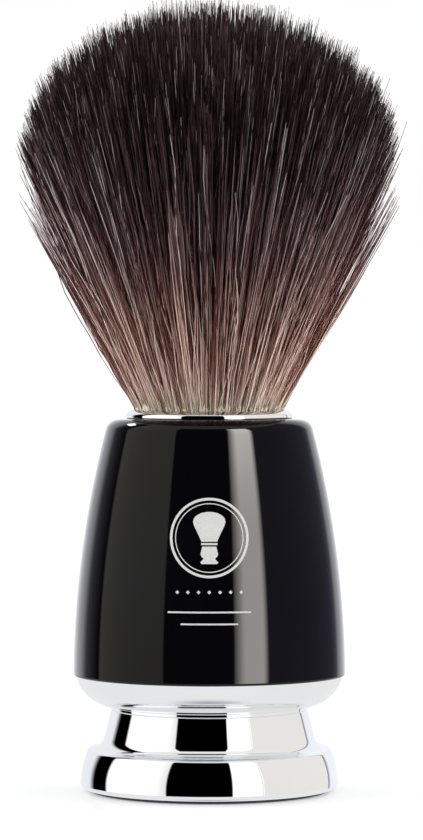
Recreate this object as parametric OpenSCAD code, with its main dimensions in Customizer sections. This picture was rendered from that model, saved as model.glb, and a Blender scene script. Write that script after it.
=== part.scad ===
// Shaving brush: a fibre head that screws into a resin handle, on a two-piece plated base.
// Millimetres, +Z up. The origin is on the table, under the middle of the foot pad.

/* [Overall] */
// Height from the table to the top of the bristle dome
brush_h = 110; // [107:0.5:113]
// Height of the resin handle shell
shell_h = 35.8; // [35:0.1:37]

/* [Bristles] */
// Radius of the fibre bundle inside the cup
bundle_r = 9.9; // [9.7:0.05:9.9]
// Radius of the fan at its widest
bloom_r = 26.7; // [24:0.1:28]
// Height of the dome above the widest point of the fan
dome_h = 21.4; // [18:0.2:24]
// Radius, about the bend pivot, where the stiff roots end and the flexing tips begin
bend_r = 15; // [14:0.5:18]

/* [Collar ring and cup] */
// Outer radius of the plated collar ring
collar_r = 11.65; // [11.5:0.05:11.8]
// Height of the collar ring above the handle
collar_h = 1.2; // [1.1:0.1:1.3]
// Outer radius of the moulded cup that holds the fibres
cup_r = 10.9; // [10.85:0.05:10.95]
// Depth of the cup below the top of the handle
cup_depth = 13.5; // [13:0.1:14]

/* [Handle shell] */
// Largest radius of the shell, just above the seam with the dish
shell_r = 19.14; // [18.5:0.02:19.5]
// Radius of the long curve that runs up the side of the shell
belly_curve = 141.5; // [130:0.5:160]
// Radius of the rounded shoulder at the top of the shell
shoulder_r = 2; // [1.6:0.1:2.2]

/* [Base] */
// Height of the foot, from the bottom edge of its metal to the dish
foot_h = 11.35; // [11.2:0.05:11.6]
// Height of the dish, from the foot to the seam
dish_h = 4.4; // [4.2:0.1:4.6]
// Largest radius of the foot
foot_r = 17.95; // [17.6:0.05:18.4]
// Height of the rolled band round the bottom of the foot
band_h = 5.5; // [5.3:0.05:5.6]
// Radius of the neck between the foot and the dish
neck_r = 13.55; // [13.3:0.05:13.6]
// Radius of the foot pad
pad_r = 16.55; // [16:0.05:16.6]
// How far the foot pad stands out below the metal
pad_proud = 0.45; // [0.3:0.05:0.6]

/* [Head thread] */
// Pitch of the thread that holds the head in the handle
head_pitch = 1.25; // [1:0.25:1.25]
// Crest radius of the threaded stud
head_crest_r = 3.95; // [3.9:0.01:4]
// Number of turns the stud screws in
head_turns = 8; // [6:1:8]

/* [Tie bolt] */
// Pitch of the bolt that clamps the base to the handle
tie_pitch = 1; // [0.75:0.25:1]
// Crest radius of the tie bolt's thread
tie_crest_r = 2.95; // [2.9:0.01:3]
// Length of the tie bolt below its head
tie_len = 20; // [19:0.5:20]

/* [Hidden] */
$fn = 96;

// Clearances
fit = 0.05;          // between parts that are glued or located in one another
slip = 0.2;          // round the cup and the insert, inside the shell
seal_gap = 0.07;     // between the O-ring and the skirt that turns in it
over = 1;            // how far a cutting shape runs past the surface it cuts

// Outlines
arc_error = 0.005;   // how far the straight steps of an arc may stray from its curve
same_point = 0.001;  // points nearer than this count as one

// Heights of the stack
foot_top = pad_proud + foot_h;
seam_z = foot_top + dish_h;
shell_top = seam_z + shell_h;
mouth_z = shell_top + collar_h;
cup_bottom = shell_top - cup_depth;

// Foot
pad_t = 1.2;
pad_edge_r = 0.25;
edge_r = 0.7;                      // bottom edge of the foot
wall_curve = 11.5;                 // bulge of the rolled band
band_top = pad_proud + band_h;
band_corner_r = 0.5;
ledge_r = 1.87;                    // hollow between the band and the cone
cone_lean = 15;                    // how far the cone leans inwards
cone_edge_r = 0.25;
cone_edge_end = 70;                // angle at which the cone's edge stops curving
neck_wall = 0.33;                  // height of the straight neck under the dish
hollow_in = 9.5;
hollow_out = 14.8;
hollow_top = 4.6;

// Dish
bowl_centre_r = 13.15;
bowl_centre_rise = 1.3;            // from the seam up to the centre of the bowl's curve
bowl_centre_z = seam_z + bowl_centre_rise;
bowl_curve = norm([neck_r - bowl_centre_r, bowl_centre_z - foot_top]);
recess_in = 10.2;
recess_out = 15.4;
recess_depth = 1.8;
spigot_r = 9;
spigot_h = 2;

// Tie bolt and its washers
bolt_head_r = 5;
bolt_head_h = 4;
bolt_socket_af = 4;
bolt_socket_depth = 2;
washer_t = 1.6;
lock_washer_t = 1.6;
washer_r = 6;
washer_bore_r = 3.2;
lock_washer_r = 5.9;
lock_washer_bore_r = 3.1;
lock_washer_gap = 0.9;
lock_washer_twist = 20;
bolt_hole_r = 3.3;
head_recess_r = 6.3;
recess_clear = 0.2;                // from the pad to the bolt head
bolt_head_z = pad_t + recess_clear;
lock_washer_z = bolt_head_z + bolt_head_h;
washer_z = lock_washer_z + lock_washer_t;
recess_top = washer_z + washer_t;
bolt_tip = lock_washer_z + tie_len;

// Threads
thread_steps = 24;                 // facets to a turn
thread_depth = 0.56;               // of the pitch
flank = 0.323;                     // of the pitch, one sloping side of the ridge
crest = 0.125;                     // of the pitch, the flat top of the ridge
fade = 12;                         // facets over which a ridge rises from the shank
thread_gap = 0.12;                 // radial clearance between stud and socket
flank_gap = 0.05;                  // extra clearance along the axis
relief_turns = 1;                  // turns of socket thread past the end of the screw
mouth_turns = 2;                   // turns by which a socket's ridge fades out past its mouth
head_root_r = head_crest_r - thread_depth * head_pitch;
tie_root_r = tie_crest_r - thread_depth * tie_pitch;
stud_tip = cup_bottom - head_turns * head_pitch;
stud_turns = head_turns - 1;       // turns of full thread on the stud
tie_turns = 6;
tie_thread_z = bolt_tip - (tie_turns + 1) * tie_pitch;

// Socket insert
insert_flange_r = 9;
insert_flange_t = 2;
insert_r = 7;
insert_gap = 0.5;                  // between the cup and the insert
insert_top = cup_bottom - insert_gap;
insert_seat = insert_top - insert_flange_t;
spigot_gap = 0.3;                  // between the spigot and the insert
insert_bottom = seam_z + spigot_h + spigot_gap;
glue_groove_w = 1.4;
glue_groove_depth = 0.5;
glue_grooves = 4;
mouth_chamfer = 0.6;

// Shell
shell_edge_r = 0.35;
belly_drop = 1.5;                  // from the seam down to the height of the long curve's centre
belly_z = seam_z - belly_drop;
belly_centre_r = shell_r - belly_curve;
main_bore_r = cup_r + slip;

// O-ring
oring_wire_r = 0.7;
skirt_r = cup_r + fit;
oring_centre_r = skirt_r + seal_gap + oring_wire_r;
oring_depth = 1.85;                // of its centre, below the top of the shell
oring_z = shell_top - oring_depth;
oring_groove_gap = 0.08;
oring_groove_r = oring_centre_r + oring_wire_r + oring_groove_gap;
oring_groove_half = 0.8;

// Collar ring
collar_bore_r = 10.5;
skirt_h = 3;
roll_r = 0.15;                     // lower outer edge
side_curve = 0.5;                  // from the side up to the crown
side_end = 45;                     // angle at which the side turns into the crown
crown_curve = 1.9;
crown_end = 76;                    // angle at which the crown meets the ring's top edge

// Cup and stud
cup_wall_in = bundle_r + fit;
cup_floor = 4;
rim_gap = 0.04;                    // between the cup's rim and the collar ring
cup_rim_r = collar_bore_r - rim_gap;
cup_rim_h = 0.4;                   // above the handle
cup_rim_z = shell_top + cup_rim_h;
stud_head_af = 12.9;
stud_head_t = 2.45;
stud_plain_r = 4;
pocket_af = 13;
pocket_depth = 2.6;

// Potting and binding
plug_t = 3.8;
plug_bottom = cup_bottom + cup_floor;
plug_top = plug_bottom + plug_t;
waist_depth = 0.6;                 // how far the cord draws the bundle in
waist_r = bundle_r - waist_depth;
waist_h = 2.6;
cord_r = 0.22;
cord_gap = 0.02;
binding_turns = 4;
binding_step = 0.5;

// Fan of fibres
fan_z = brush_h - dome_h;
fan_low_angle = -20;               // where the fan's straight side meets its dome
fan_step = 5;                      // degrees between points of the dome
bend_gap = 0.2;

// Corner-to-corner radius of a hexagon with the given distance across its flats
function hex_r(across_flats) = across_flats / 2 / cos(30);

// Points along an arc about [cx, cz], from angle a to angle b
function arc(cx, cz, r, a, b) =
    let (n = ceil(abs(b - a) / (2 * acos(1 - arc_error / r))))
    [for (i = [0:n]) let (t = a + (b - a) * i / n) [cx + r * cos(t), cz + r * sin(t)]];

// An outline without the points that repeat the one before them
function tidied(points) =
    [for (i = [0:len(points) - 1])
        if (i == 0 || norm(points[i] - points[max(i - 1, 0)]) > same_point) points[i]];

// Height of the ridge at step i of n, as a share of full height: it fades out at both ends
function ridge(i, n) = min(1, i / fade, (n - i) / fade);

// One point of a thread: k counts round start, rise, fall and end of the ridge
function thread_point(i, k, n, pitch, root_r, crest_r, widen) =
    let (
        along = [-widen, flank * pitch - widen, (flank + crest) * pitch + widen,
                 (2 * flank + crest) * pitch + widen][k],
        r = k == 1 || k == 2 ? root_r + (crest_r - root_r) * ridge(i, n) : root_r,
        a = 360 * i / thread_steps
    )
    [r * cos(a), r * sin(a), pitch * i / thread_steps + along];

// A right-hand threaded rod: its ridge starts at z = 0, with plain ends below and above it
module thread(turns, pitch, root_r, crest_r, widen, low_end, high_end) {
    m = thread_steps;
    n = turns * m;
    top_z = pitch * (turns + 1) + widen + high_end;
    ridge_points = [for (i = [0:n]) for (k = [0:3])
        thread_point(i, k, n, pitch, root_r, crest_r, widen)];
    ring = [for (j = [0:m - 1]) [root_r * cos(360 * j / m), root_r * sin(360 * j / m)]];
    low_ring = [for (p = ring) [p.x, p.y, -low_end]];
    high_ring = [for (p = ring) [p.x, p.y, top_z]];
    low = 4 * (n + 1);
    high = low + m;
    // Ridge and valley: two triangles from point k of steps i and i + 1 to the next point up
    patches = [for (i = [0:n - 1]) for (k = [0:3])
        let (p = 4 * i + k, q = k == 3 ? 4 * (i + m) : p + 1)
        if (k < 3 || i + m < n) for (t = [[p, q, q + 4], [p, q + 4, p + 4]]) t];
    // Plain wall below the first turn, closed by a fan where the ridge starts
    low_walls = [for (j = [0:m - 2]) [low + j, 4 * j, 4 * (j + 1), low + j + 1]];
    start = [4 * m, 3, 2, 1, 0, low, low + m - 1];
    low_fan = [for (k = [0:5]) [4 * (m - 1), start[k], start[k + 1]]];
    // Plain wall above the last turn, closed by a fan where the ridge ends
    s = 4 * (n - m) + 3;
    high_walls = [for (j = [1:m - 1])
        [s + 4 * j, high + j, high + (j + 1) % m, s + 4 * (j + 1)]];
    end = [s, 4 * n, 4 * n + 1, 4 * n + 2, 4 * n + 3, high, high + 1];
    high_fan = [for (k = [0:5]) [s + 4, end[k], end[k + 1]]];
    caps = [[for (j = [0:m - 1]) low + j], [for (j = [m - 1:-1:0]) high + j]];
    polyhedron(
        concat(ridge_points, low_ring, high_ring),
        concat(patches, low_walls, low_fan, high_walls, high_fan, caps)
    );
}

// A tube from z0 to z1, or a solid rod if r_in is 0
module tube(r_in, r_out, z0, z1) {
    translate([0, 0, z0])
    difference() {
        cylinder(r = r_out, h = z1 - z0);
        if (r_in > 0) {
            translate([0, 0, -over]) cylinder(r = r_in, h = z1 - z0 + 2 * over);
        }
    }
}

// Rubber disc let into the underside of the foot
module foot_pad() {
    color("#22262c")
    rotate_extrude()
    polygon(concat(
        [[0, 0]],
        arc(pad_r - pad_edge_r, pad_edge_r, pad_edge_r, -90, 0),
        [[pad_r, pad_t], [0, pad_t]]
    ));
}

// Outer outline of the foot, from its underside up to the neck
function foot_outline() =
    let (
        wall_z = pad_proud + edge_r,
        wall_centre = foot_r - wall_curve,
        corner_z = band_top - band_corner_r,
        corner_a = asin((corner_z - wall_z) / (wall_curve - band_corner_r)),
        corner_centre = wall_centre + (wall_curve - band_corner_r) * cos(corner_a),
        ledge_end_z = band_top + ledge_r * (1 - sin(cone_lean)),
        ledge_end_r = corner_centre - ledge_r * cos(cone_lean),
        tip_centre_z = foot_top - neck_wall - cone_edge_r * sin(cone_edge_end),
        leave_z = tip_centre_z + cone_edge_r * sin(cone_lean),
        leave_r = ledge_end_r - (leave_z - ledge_end_z) * tan(cone_lean),
        tip_centre = leave_r - cone_edge_r * cos(cone_lean)
    )
    tidied(concat(
        [[0, pad_proud]],
        arc(foot_r - edge_r, wall_z, edge_r, -90, 0),
        arc(wall_centre, wall_z, wall_curve, 0, corner_a),
        arc(corner_centre, corner_z, band_corner_r, corner_a, 90),
        arc(corner_centre, band_top + ledge_r, ledge_r, -90, -180 + cone_lean),
        arc(tip_centre, tip_centre_z, cone_edge_r, cone_lean, cone_edge_end),
        [[neck_r, foot_top], [0, foot_top]]
    ));

// Plated foot casting, hollowed from below, with a recess for the bolt head
module base_foot() {
    color("#dfe2e6")
    difference() {
        rotate_extrude() polygon(foot_outline());
        tube(0, pad_r + fit, pad_proud - over, pad_t);
        tube(hollow_in, hollow_out, pad_t - over, hollow_top);
        tube(0, head_recess_r, pad_t - over, recess_top);
        tube(0, bolt_hole_r, recess_top - over, foot_top + over);
    }
}

// Plated bowl that carries the handle, with a spigot that centres it
module base_dish() {
    start_a = -acos((neck_r - bowl_centre_r) / bowl_curve);
    end_a = -asin((bowl_centre_z - seam_z) / bowl_curve);
    color("#e8eaed")
    difference() {
        union() {
            rotate_extrude()
            polygon(tidied(concat(
                [[0, foot_top]],
                arc(bowl_centre_r, bowl_centre_z, bowl_curve, start_a, end_a),
                [[0, seam_z]]
            )));
            tube(0, spigot_r, seam_z - over, seam_z + spigot_h);
        }
        tube(recess_in, recess_out, seam_z - recess_depth, seam_z + over);
        tube(0, bolt_hole_r, foot_top - over, seam_z + spigot_h + over);
    }
}

// Low-head screw that pulls the foot, the dish and the insert together
module tie_bolt() {
    color("#9aa0a6")
    difference() {
        union() {
            tube(0, bolt_head_r, bolt_head_z, lock_washer_z);
            tube(0, tie_crest_r, lock_washer_z - over, tie_thread_z - over);
            translate([0, 0, tie_thread_z])
            thread(tie_turns, tie_pitch, tie_root_r, tie_crest_r, 0, 2 * over, 0);
        }
        translate([0, 0, bolt_head_z - over])
        cylinder(r = hex_r(bolt_socket_af), h = bolt_socket_depth + over, $fn = 6);
    }
}

// Split lock washer, clamped flat
module spring_washer() {
    color("#868b90")
    difference() {
        tube(lock_washer_bore_r, lock_washer_r, lock_washer_z, washer_z);
        translate([(lock_washer_bore_r + lock_washer_r) / 2, 0, lock_washer_z + lock_washer_t / 2])
        rotate([lock_washer_twist, 0, 0])
        cube([2 * lock_washer_r, lock_washer_gap, 4 * lock_washer_t], center = true);
    }
}

// Plain washer under the foot's floor
module flat_washer() {
    color("#a9adb1")
    tube(washer_bore_r, washer_r, washer_z, recess_top);
}

// Outer outline of the handle shell
function shell_outline() =
    let (
        low_a = asin((seam_z + shell_edge_r - belly_z) / belly_curve),
        low_r = belly_centre_r + belly_curve * cos(low_a),
        shoulder_z = shell_top - shoulder_r,
        shoulder_a = asin((shoulder_z - belly_z) / (belly_curve - shoulder_r)),
        shoulder_centre = belly_centre_r + (belly_curve - shoulder_r) * cos(shoulder_a)
    )
    tidied(concat(
        [[0, seam_z]],
        arc(low_r - shell_edge_r, seam_z + shell_edge_r, shell_edge_r, -90, 0),
        arc(belly_centre_r, belly_z, belly_curve, low_a, shoulder_a),
        arc(shoulder_centre, shoulder_z, shoulder_r, shoulder_a, 90),
        [[0, shell_top]]
    ));

// Gloss resin handle, bored from both ends
module handle_shell() {
    color("#131313")
    difference() {
        rotate_extrude() polygon(shell_outline());
        tube(0, main_bore_r, insert_top + slip, shell_top + over);
        tube(0, oring_groove_r, oring_z - oring_groove_half, oring_z + oring_groove_half);
        tube(0, insert_flange_r + slip / 2, insert_seat, insert_top + over);
        tube(0, insert_r + slip / 2, seam_z - over, insert_seat + over);
        tube(0, spigot_r + slip / 2, seam_z - over, insert_bottom);
    }
}

// Brass insert glued into the shell: the head screws in from above, the tie bolt from below
module socket_insert() {
    spare_turns = relief_turns + mouth_turns;
    groove_span = insert_seat - insert_bottom;
    color("#b08d45")
    difference() {
        union() {
            tube(0, insert_r, insert_bottom, insert_top);
            tube(0, insert_flange_r, insert_seat, insert_top);
        }
        translate([0, 0, stud_tip - relief_turns * head_pitch])
        thread(stud_turns + spare_turns, head_pitch, head_root_r + thread_gap,
               head_crest_r + thread_gap, flank_gap, fit + flank_gap, 0);
        translate([0, 0, insert_top - mouth_chamfer])
        cylinder(r1 = head_root_r + thread_gap, r2 = head_crest_r + thread_gap + 2 * mouth_chamfer,
                 h = 2 * mouth_chamfer);
        translate([0, 0, tie_thread_z - mouth_turns * tie_pitch])
        thread(tie_turns + spare_turns, tie_pitch, tie_root_r + thread_gap,
               tie_crest_r + thread_gap, flank_gap, fit + flank_gap, 0);
        for (i = [1:glue_grooves]) {
            z = insert_bottom + groove_span * i / (glue_grooves + 1);
            tube(insert_r - glue_groove_depth, insert_r + over, z, z + glue_groove_w);
        }
    }
}

// Rubber ring seated in the shell, round the collar's skirt
module collar_oring() {
    color("#1c1c1e")
    rotate_extrude()
    translate([oring_centre_r, oring_z])
    circle(r = oring_wire_r);
}

// Plated ring that closes the top of the cup and seats on the handle
module collar_ring() {
    bend = side_curve - crown_curve;
    crown_rise = crown_curve * (sin(crown_end) - sin(side_end));
    side_z = mouth_z - side_curve * sin(side_end) - crown_rise;
    color("#e4e5e7")
    rotate_extrude()
    polygon(tidied(concat(
        [[collar_bore_r, shell_top - skirt_h], [skirt_r, shell_top - skirt_h]],
        [[skirt_r, shell_top]],
        arc(collar_r - roll_r, shell_top + roll_r, roll_r, -90, 0),
        arc(collar_r - side_curve, side_z, side_curve, 0, side_end),
        arc(collar_r - side_curve + bend * cos(side_end), side_z + bend * sin(side_end),
            crown_curve, side_end, crown_end),
        [[collar_bore_r, mouth_z]]
    )));
}

// Moulded cup that holds the potted fibres and the stud
module knot_cup() {
    cup_step_z = shell_top - skirt_h;
    color("#3a3c3f")
    difference() {
        union() {
            tube(0, cup_r, cup_bottom, cup_step_z);
            tube(0, cup_rim_r, cup_bottom, cup_rim_z);
        }
        tube(0, cup_wall_in, plug_bottom, cup_rim_z + over);
        translate([0, 0, plug_bottom - pocket_depth])
        cylinder(r = hex_r(pocket_af), h = pocket_depth + over, $fn = 6);
        tube(0, stud_plain_r + fit, cup_bottom - over, plug_bottom);
    }
}

// Threaded stud with a hexagon head, moulded into the cup's floor
module head_stud() {
    head_z = plug_bottom - pocket_depth + fit;
    color("#b9bcc0")
    union() {
        translate([0, 0, head_z])
        cylinder(r = hex_r(stud_head_af), h = stud_head_t, $fn = 6);
        tube(0, stud_plain_r, cup_bottom - fit, head_z + over);
        translate([0, 0, stud_tip])
        thread(stud_turns, head_pitch, head_root_r, head_crest_r, 0, fit, over / 2);
    }
}

// Hard resin that glues the fibre ends into the cup
module resin_plug() {
    color("#c9a96a")
    tube(0, bundle_r, plug_bottom, plug_top);
}

// Turns of cord tied round the waist of the bundle
module bundle_binding() {
    color("#e8e0cc")
    for (i = [1:binding_turns]) {
        translate([0, 0, plug_top + i * binding_step])
        rotate_extrude()
        translate([waist_r + cord_r + cord_gap, 0])
        circle(r = cord_r);
    }
}

// Outline of the whole bundle above the potting, roots and fan together
function fibre_outline() =
    concat(
        [[0, plug_top], [waist_r, plug_top], [waist_r, plug_top + waist_h]],
        [[bundle_r, plug_top + waist_h + waist_depth], [bundle_r, cup_rim_z]],
        [for (a = [fan_low_angle:fan_step:90]) [bloom_r * cos(a), fan_z + dome_h * sin(a)]]
    );

// Fibres from the potting to just above the collar, which stay straight
module bristle_root() {
    color("#8c6f64")
    intersection() {
        rotate_extrude() polygon(fibre_outline());
        translate([0, 0, mouth_z]) sphere(r = bend_r - bend_gap);
    }
}

// Flexing part of the fibres, hollowed below so that it swings clear of the roots
module bristle_tips() {
    color("#241b1c")
    difference() {
        rotate_extrude() polygon(fibre_outline());
        translate([0, 0, mouth_z]) sphere(r = bend_r);
        tube(0, bloom_r, plug_top - over, mouth_z);
    }
}

foot_pad();
base_foot();
base_dish();
tie_bolt();
spring_washer();
flat_washer();
handle_shell();
socket_insert();
collar_oring();
collar_ring();
knot_cup();
head_stud();
resin_plug();
bundle_binding();
bristle_root();
bristle_tips();
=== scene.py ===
"""Looks for the shaving brush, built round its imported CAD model. Sizes below are in millimetres."""

import math

import bmesh
import bpy
import numpy as np
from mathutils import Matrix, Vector


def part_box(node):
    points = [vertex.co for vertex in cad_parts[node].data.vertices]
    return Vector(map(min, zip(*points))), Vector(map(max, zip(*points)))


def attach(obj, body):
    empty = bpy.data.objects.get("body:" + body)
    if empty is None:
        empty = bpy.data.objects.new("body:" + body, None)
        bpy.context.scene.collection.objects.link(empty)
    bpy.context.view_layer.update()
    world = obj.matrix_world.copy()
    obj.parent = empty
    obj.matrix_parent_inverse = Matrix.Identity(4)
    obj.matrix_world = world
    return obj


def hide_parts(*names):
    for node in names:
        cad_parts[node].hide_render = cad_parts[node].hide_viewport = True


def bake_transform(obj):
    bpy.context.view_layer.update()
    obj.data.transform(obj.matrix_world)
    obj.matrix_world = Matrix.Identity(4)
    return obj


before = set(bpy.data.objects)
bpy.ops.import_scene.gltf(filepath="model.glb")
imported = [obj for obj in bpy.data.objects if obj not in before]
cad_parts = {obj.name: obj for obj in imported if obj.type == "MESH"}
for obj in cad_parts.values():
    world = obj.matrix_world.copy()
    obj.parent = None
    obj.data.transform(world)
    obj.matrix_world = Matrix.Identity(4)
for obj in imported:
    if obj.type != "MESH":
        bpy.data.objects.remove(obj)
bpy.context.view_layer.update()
MM = 0.001


# ---------------------------------------------------------------- sizes taken from the CAD model
def top_of(node):
    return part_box(node)[1].z / MM


def bottom_of(node):
    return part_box(node)[0].z / MM


def radius_of(node):
    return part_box(node)[1].x / MM


pad_r = radius_of("foot_pad")
pad_top = top_of("foot_pad")
foot_low = bottom_of("base_foot")
foot_top = top_of("base_foot")
foot_r = radius_of("base_foot")
shell_low = bottom_of("handle_shell")
shell_top = top_of("handle_shell")
shell_r = radius_of("handle_shell")
mouth_z = top_of("collar_ring")
brush_top = top_of("bristle_tips")
bloom_r = radius_of("bristle_tips")

# Sizes of the CAD model that its boxes don't give
neck_r = 13.55
neck_wall = 0.33
band_h = 5.5
cone_lean = 15
bolt_hole_r = 3.3


# ---------------------------------------------------------------- mesh helpers
SHARP_ANGLE = 35


def sin_deg(angle):
    return math.sin(math.radians(angle))


def cos_deg(angle):
    return math.cos(math.radians(angle))


def tan_deg(angle):
    return math.tan(math.radians(angle))


def arc(centre_r, centre_z, radius, start, end, steps):
    """Points along an arc in the (radius, height) plane; angles are in degrees.

    Where arcs meet, the second starts a few degrees late, so that no two points coincide.
    """
    angles = np.radians(np.linspace(start, end, steps + 1))
    return [(centre_r + radius * math.cos(a), centre_z + radius * math.sin(a)) for a in angles]


def new_object(name, mesh, material):
    piece = bpy.data.objects.new(name, mesh)
    bpy.context.scene.collection.objects.link(piece)
    mesh.materials.append(material)
    return piece


def face_outwards(mesh):
    """Turns the faces of a closed mesh outwards."""
    work = bmesh.new()
    work.from_mesh(mesh)
    bmesh.ops.recalc_face_normals(work, faces=work.faces)
    work.to_mesh(mesh)
    work.free()


def lathe(name, outline, material, segments=224):
    """Turns a closed (radius, height) outline round the axis into one closed mesh."""
    angles = np.linspace(0, 2 * math.pi, segments, endpoint=False)
    vertices, rows = [], []
    for r, z in outline:
        start = len(vertices)
        if r == 0:
            vertices.append((0, 0, z * MM))
            rows.append([start] * segments)
            continue
        vertices += [(r * MM * math.cos(a), r * MM * math.sin(a), z * MM) for a in angles]
        rows.append([start + i for i in range(segments)])
    faces = []
    for low, high in zip(rows, rows[1:] + rows[:1]):
        for i in range(segments):
            j = (i + 1) % segments
            corners = list(dict.fromkeys([low[i], low[j], high[j], high[i]]))
            if len(corners) > 2:
                faces.append(corners)
    mesh = bpy.data.meshes.new(name)
    mesh.from_pydata(vertices, [], faces)
    face_outwards(mesh)
    mesh.polygons.foreach_set("use_smooth", np.ones(len(mesh.polygons), bool))
    mesh.set_sharp_from_angle(angle=math.radians(SHARP_ANGLE))
    return new_object(name, mesh, material)


def stands_for(piece, node, body):
    """Puts a piece in a CAD node's place: hides the node and puts the piece on the node's body."""
    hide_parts(node)
    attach(piece, body)


# ---------------------------------------------------------------- materials
# The sockets of a Mix node that hold colours
MIX_A = 6
MIX_B = 7
MIX_RESULT = 2


def node_material(name):
    """A new material, its node tree and its Principled node."""
    material = bpy.data.materials.new(name)
    material.use_nodes = True
    tree = material.node_tree
    return material, tree, tree.nodes["Principled BSDF"]


def add(tree, kind, **settings):
    """A new shader node with its properties and inputs set by name."""
    node = tree.nodes.new(kind)
    for key, value in settings.items():
        name = key.replace("_", " ").title()
        if hasattr(node, key):
            setattr(node, key, value)
        else:
            node.inputs[name].default_value = value
    return node


def feed(tree, socket, value):
    """Gives a node's input a value, or links it to another node's output."""
    if isinstance(value, bpy.types.NodeSocket):
        tree.links.new(value, socket)
    else:
        socket.default_value = value


def noise(tree, scale, detail=2.0, stretch=(1, 1, 1)):
    """Noise in object space; scale is in cells per metre and stretch squeezes it along an axis."""
    place = tree.nodes.new("ShaderNodeTexCoord")
    mapping = tree.nodes.new("ShaderNodeMapping")
    mapping.inputs["Scale"].default_value = stretch
    tree.links.new(place.outputs["Object"], mapping.inputs["Vector"])
    texture = add(tree, "ShaderNodeTexNoise", scale=scale, detail=detail)
    tree.links.new(mapping.outputs["Vector"], texture.inputs["Vector"])
    return texture.outputs["Fac"]


def spread(tree, value, low, high, start=0.0, end=1.0):
    """Goes from low to high as value goes from start to end."""
    node = add(tree, "ShaderNodeMapRange", from_min=start, from_max=end, to_min=low, to_max=high)
    tree.links.new(value, node.inputs["Value"])
    return node.outputs["Result"]


def ramp(tree, value, stops):
    """A colour ramp over value; stops are (position, (r, g, b))."""
    node = tree.nodes.new("ShaderNodeValToRGB")
    points = node.color_ramp.elements
    while len(points) < len(stops):
        points.new(0.5)
    for point, (position, colour) in zip(points, stops):
        point.position = position
        point.color = (*colour, 1)
    tree.links.new(value, node.inputs["Fac"])
    return node.outputs["Color"]


def mix_colours(tree, factor, below, above):
    """Goes from below to above as factor goes from 0 to 1; each is a socket or an (r, g, b) tuple."""
    node = add(tree, "ShaderNodeMix", data_type="RGBA")
    tree.links.new(factor, node.inputs["Factor"])
    for k, colour in ((MIX_A, below), (MIX_B, above)):
        feed(tree, node.inputs[k], (*colour, 1) if isinstance(colour, tuple) else colour)
    return node.outputs[MIX_RESULT]


def bump(tree, shader, height, strength, distance):
    """Bumps the surface by height, at most distance millimetres."""
    node = add(tree, "ShaderNodeBump", strength=strength, distance=distance * MM)
    tree.links.new(height, node.inputs["Height"])
    tree.links.new(node.outputs["Normal"], shader.inputs["Normal"])


def grained(name, light, dark, metallic, rough, scale, relief, stretch=(1, 1, 1)):
    """A solid material whose colour, roughness and bump all follow one grain.

    scale is in cells per metre and relief in millimetres.
    """
    material, tree, shader = node_material(name)
    grain = noise(tree, scale, 4.0, stretch)
    colour = ramp(tree, grain, [(0.3, dark), (0.7, light)])
    tree.links.new(colour, shader.inputs["Base Color"])
    tree.links.new(spread(tree, grain, rough[0], rough[1]), shader.inputs["Roughness"])
    shader.inputs["Metallic"].default_value = metallic
    bump(tree, shader, grain, 0.5, relief)
    return material


def chrome_material():
    """Mirror plating with faint haze, wipe marks and a cool tint."""
    material, tree, shader = node_material("chrome_plate")
    haze = noise(tree, 90, 3.0)
    wipe = noise(tree, 420, 2.0, (1, 1, 0.15))
    colour = ramp(tree, haze, [(0.3, (0.86, 0.875, 0.885)), (0.7, (0.9, 0.905, 0.91))])
    tree.links.new(colour, shader.inputs["Base Color"])
    shader.inputs["Metallic"].default_value = 1
    tree.links.new(spread(tree, wipe, 0.006, 0.014), shader.inputs["Roughness"])
    return material


def resin_material():
    """Polished black resin: a faint blue in its depth and a hard clear surface."""
    material, tree, shader = node_material("black_resin_gloss")
    depth = noise(tree, 60, 2.0)
    colour = ramp(tree, depth, [(0.3, (0.0012, 0.0011, 0.0014)), (0.7, (0.002, 0.002, 0.0026))])
    tree.links.new(colour, shader.inputs["Base Color"])
    polish = noise(tree, 700, 2.0)
    tree.links.new(spread(tree, polish, 0.02, 0.06), shader.inputs["Roughness"])
    shader.inputs["IOR"].default_value = 1.35
    return material


chrome = chrome_material()
resin = resin_material()
# The pad is dark and stands a little proud under the foot: besides the pad itself, its dark edge paints
# the contact shadow and the dark reflection along the foot's bottom edge
pad_rubber_and_shadow = grained(
    "pad_rubber_shadow_line",
    light=(0.03, 0.038, 0.05),
    dark=(0.012, 0.016, 0.022),
    metallic=0,
    rough=(0.6, 0.8),
    scale=3500,
    relief=0.02,
)


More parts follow.
